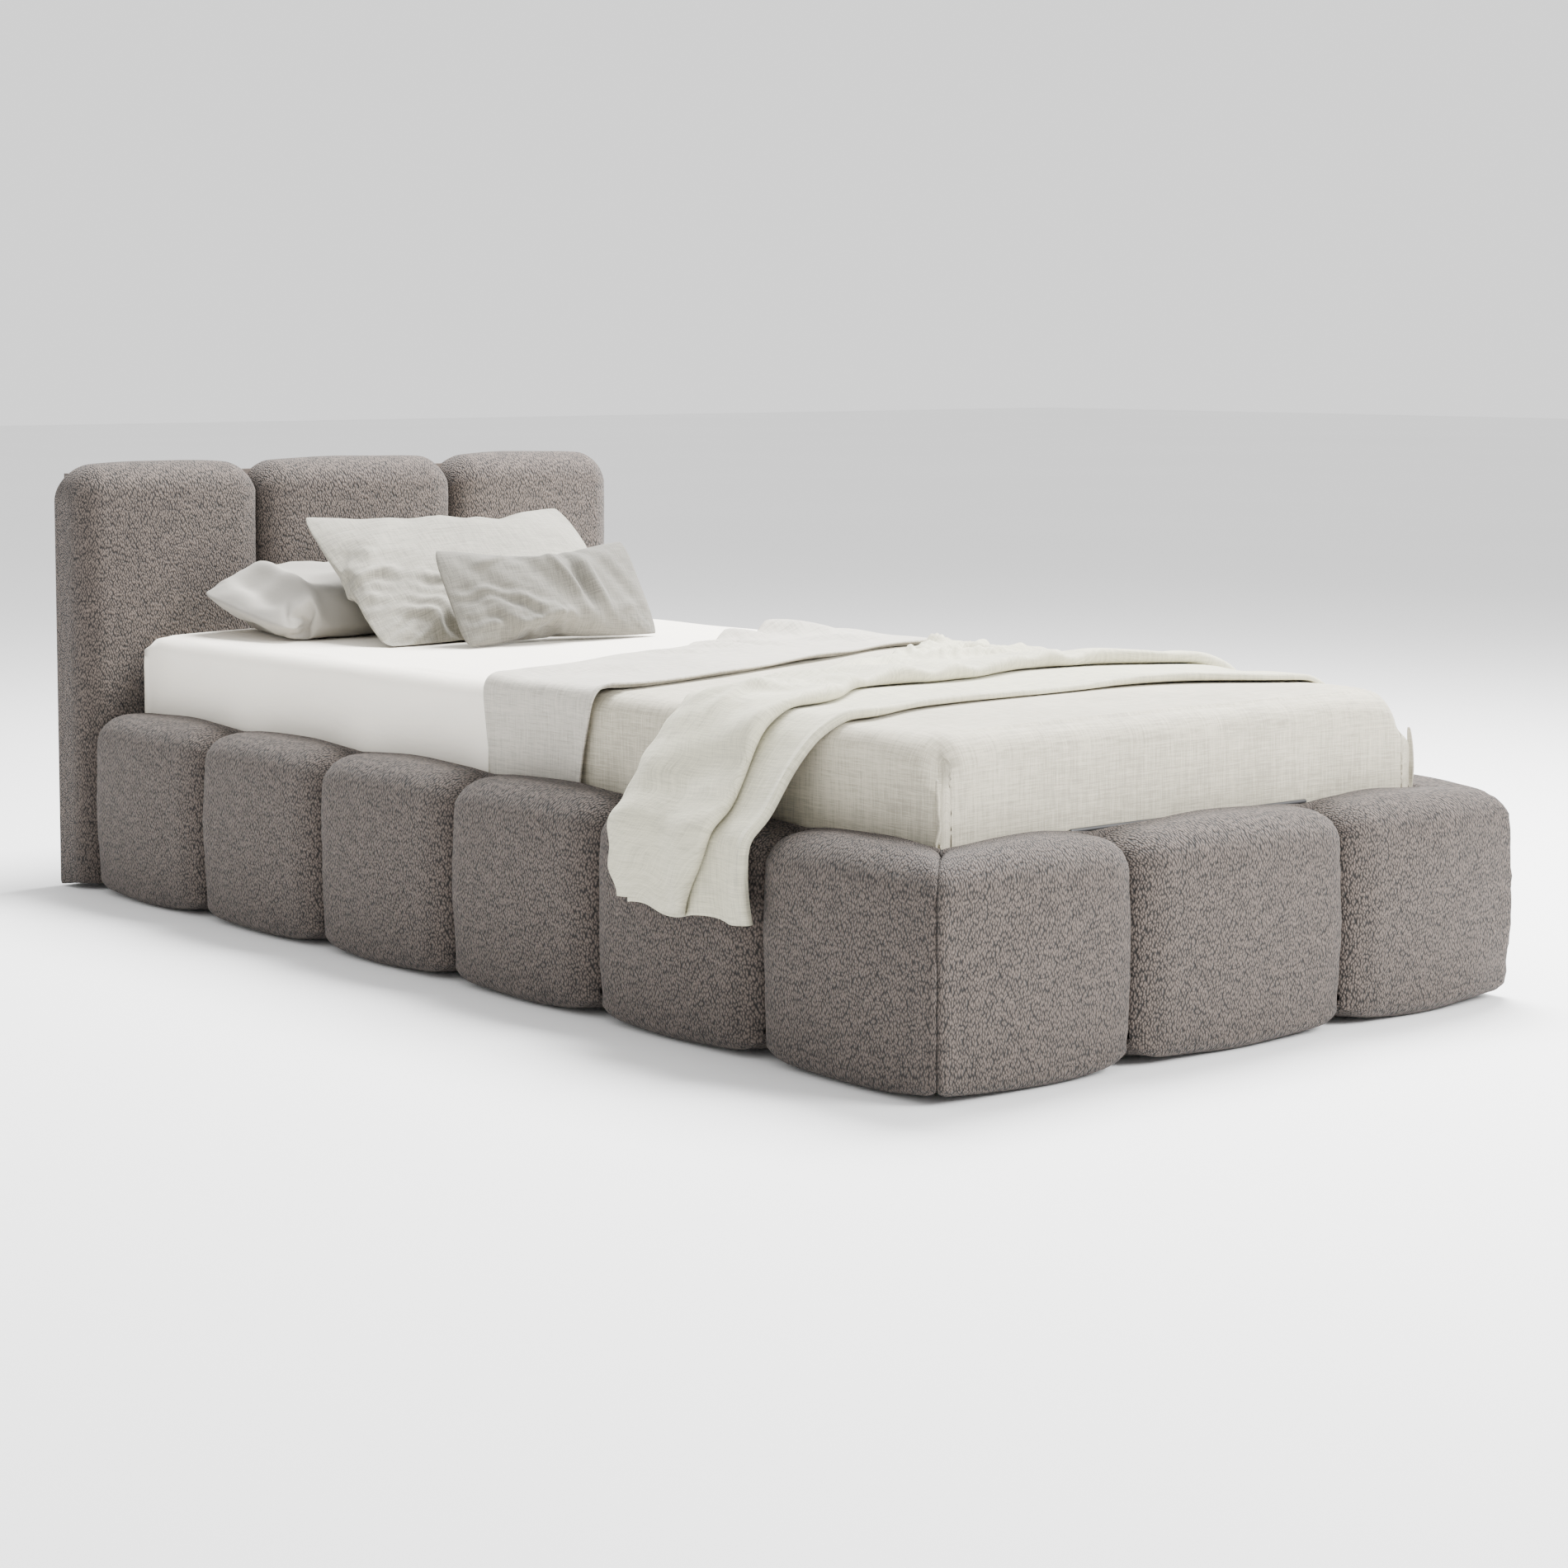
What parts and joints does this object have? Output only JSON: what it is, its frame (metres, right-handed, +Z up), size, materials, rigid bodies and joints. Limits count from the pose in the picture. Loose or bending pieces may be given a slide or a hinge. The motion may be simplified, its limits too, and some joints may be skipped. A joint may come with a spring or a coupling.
{
  "type": "single bed",
  "caption": "Upholstered single bed with channelled rails and headboard, a lift-up slatted base over a bedding box, and dressed with a spread, throw and pillows.",
  "frame": {"origin": "middle of the floor footprint, on the floor", "axes": "+X across the bed to the right seen from the foot, +Y towards the headboard, +Z up"},
  "size_m": [1.142, 2.23, 0.727],
  "materials": {
    "boucle": "looped boucle upholstery, matt",
    "chipboard": "raw particle board",
    "hardboard": "thin hardboard, smooth face up",
    "pine": "planed pine",
    "birch_slat": "lacquered bent birch",
    "slat_holder": "moulded rubber",
    "glide_plastic": "moulded glide",
    "frame_paint": "fine powder coat",
    "hinge_steel": "powder coated flat steel",
    "zinc_steel": "bright zinc plate",
    "strut_paint": "smooth black paint",
    "strut_rod": "hard chrome",
    "webbing": "woven webbing",
    "backing_cloth": "thin non-woven backing",
    "mattress_ticking": "knitted ticking",
    "sheet_cotton": "white cotton",
    "spread_linen": "washed linen, slubby weave",
    "band_linen": "underside of the linen spread",
    "throw_linen": "pale washed linen",
    "pillow_white": "white cotton",
    "pillow_linen": "washed linen",
    "cushion_linen": "crinkled dark grey linen"
  },
  "bodies": {
    "root": {"base_pins": "zinc_steel", "corner_brackets": "zinc_steel", "floor_battens": "pine", "floor_panels": "hardboard", "foot_board": "chipboard", "foot_pad_left": "boucle", "foot_pad_middle": "boucle", "foot_pad_right": "boucle", "frame_bolts": "zinc_steel", "glides": "glide_plastic", "head_back_cloth": "backing_cloth", "head_pad_left": "boucle", "head_pad_middle": "boucle", "head_pad_right": "boucle", "head_panel": "chipboard", "hinge_plate_left": "hinge_steel", "hinge_plate_right": "hinge_steel", "side_board_left": "chipboard", "side_board_right": "chipboard", "side_ledge_left": "pine", "side_ledge_right": "pine", "side_pad_1_left": "boucle", "side_pad_1_right": "boucle", "side_pad_2_left": "boucle", "side_pad_2_right": "boucle", "side_pad_3_left": "boucle", "side_pad_3_right": "boucle", "side_pad_4_left": "boucle", "side_pad_4_right": "boucle", "side_pad_5_left": "boucle", "side_pad_5_right": "boucle", "side_pad_6_left": "boucle", "side_pad_6_right": "boucle"},
    "front_arms": {"front_arm_left": "hinge_steel", "front_arm_right": "hinge_steel"},
    "rear_arms": {"rear_arm_left": "hinge_steel", "rear_arm_right": "hinge_steel"},
    "gas_cylinders": {"gas_cylinders": "strut_paint"},
    "gas_rods": {"gas_rods": "strut_rod"},
    "lift_frame": {"back_pillow": "pillow_white", "bedspread": "spread_linen", "fitted_sheet": "sheet_cotton", "frame_pins": "zinc_steel", "frame_tube_foot": "frame_paint", "frame_tube_head": "frame_paint", "frame_tube_left": "frame_paint", "frame_tube_middle": "frame_paint", "frame_tube_right": "frame_paint", "front_cushion": "cushion_linen", "lift_bracket_left": "frame_paint", "lift_bracket_right": "frame_paint", "mattress": "mattress_ticking", "mattress_retainer": "zinc_steel", "middle_pillow": "pillow_linen", "pull_strap": "webbing", "slat_caps": "slat_holder", "slats": "birch_slat", "throw": "throw_linen", "turned_back_band": "band_linen"}
  },
  "joints": [
    {"name": "base_lift", "type": "hinge", "parent": "root", "child": "front_arms", "pos_m": [0, 0.123, 0.046], "axis": [1, 0, 0], "range_deg": [0, 32.31]},
    {"name": "frame_tilt", "type": "hinge", "parent": "front_arms", "child": "lift_frame", "pos_m": [0, 0.489, 0.205], "axis": [1, 0, 0], "range_deg": [-67.4, 0]},
    {"name": "rear_arm_swing", "type": "hinge", "parent": "root", "child": "rear_arms", "pos_m": [0, 0.375, 0.046], "axis": [1, 0, 0], "range_deg": [0, 40.3]},
    {"name": "strut_swing", "type": "hinge", "parent": "root", "child": "gas_cylinders", "pos_m": [0, 0.553, 0.046], "axis": [1, 0, 0], "range_deg": [-9.1, 0]},
    {"name": "strut_extend", "type": "slide", "parent": "gas_cylinders", "child": "gas_rods", "axis": [0, -0.9797, 0.2002], "range_m": [0, 0.0662]}
  ],
  "couplings": [
    {"joint": "frame_tilt", "follows": "base_lift", "ratio": -2.0831},
    {"joint": "rear_arm_swing", "follows": "base_lift", "ratio": 1.245},
    {"joint": "strut_swing", "follows": "base_lift", "ratio": -0.2788},
    {"joint": "strut_extend", "follows": "base_lift", "m_per_rad": 0.1171}
  ]
}
